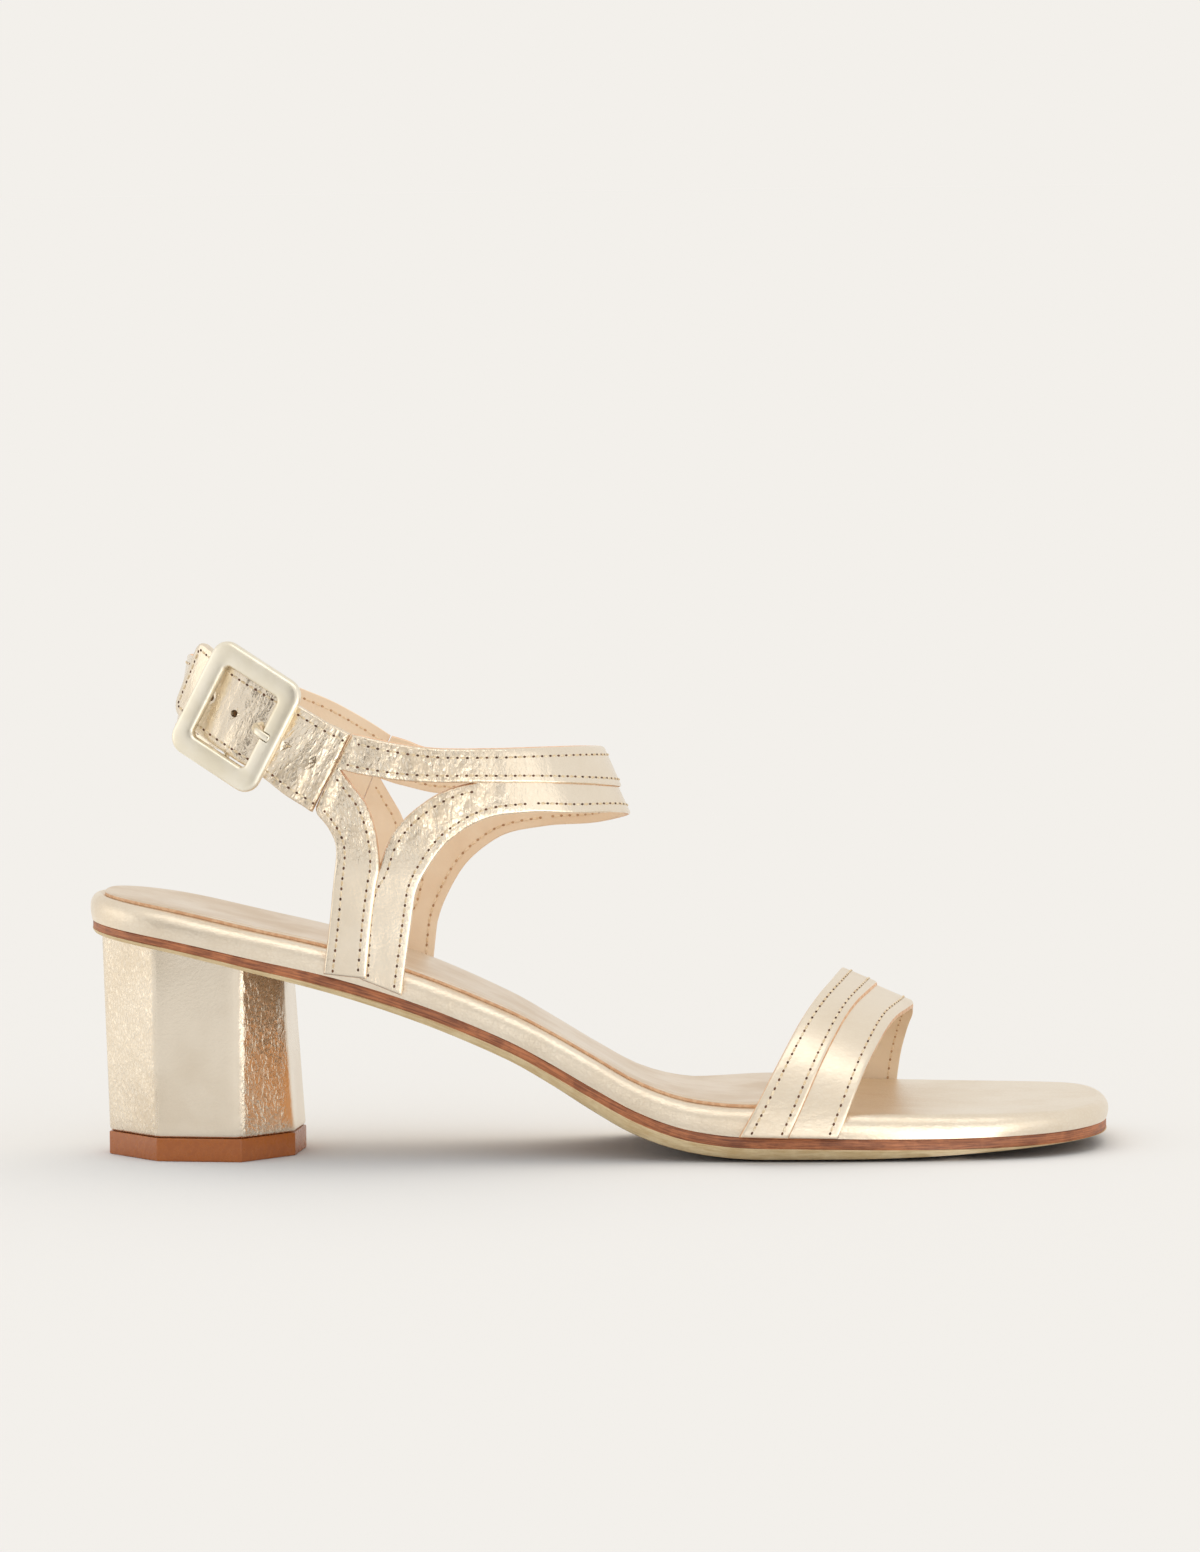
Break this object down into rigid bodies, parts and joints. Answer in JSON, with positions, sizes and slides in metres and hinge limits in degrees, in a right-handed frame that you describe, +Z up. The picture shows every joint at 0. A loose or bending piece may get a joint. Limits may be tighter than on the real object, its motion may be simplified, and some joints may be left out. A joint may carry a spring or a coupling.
{
  "type": "block heel sandal",
  "caption": "Right ankle strap sandal with an octagonal block heel, wrapped footbed, banded front strap and a square buckle on the outer side.",
  "frame": {"origin": "centre of the overall box, on the floor under the heel lift and the ball", "axes": "+X to the toe, +Y to the wearer's inner side, +Z up"},
  "size_m": [0.242, 0.0836, 0.1234],
  "materials": {
    "gold_leather": "foiled pale gold, satin shine",
    "sock_leather": "satin pale gold",
    "outsole_leather": "matte cream",
    "brown_edge": "streaky waxed brown edge",
    "heel_lift": "smooth tan brown",
    "gold_metal": "satin pale gold plating"
  },
  "bodies": {
    "root": {"outsole": "outsole_leather", "midsole": "brown_edge", "footbed": "gold_leather", "insole_sock": "sock_leather", "heel_block": "gold_leather", "heel_top_lift": "heel_lift", "vamp_strap": "gold_leather", "ankle_upper": "gold_leather", "buckle_strap": "gold_leather", "back_strap": "gold_leather", "buckle_frame": "gold_metal", "buckle_pin": "gold_metal"}
  },
  "joints": []
}
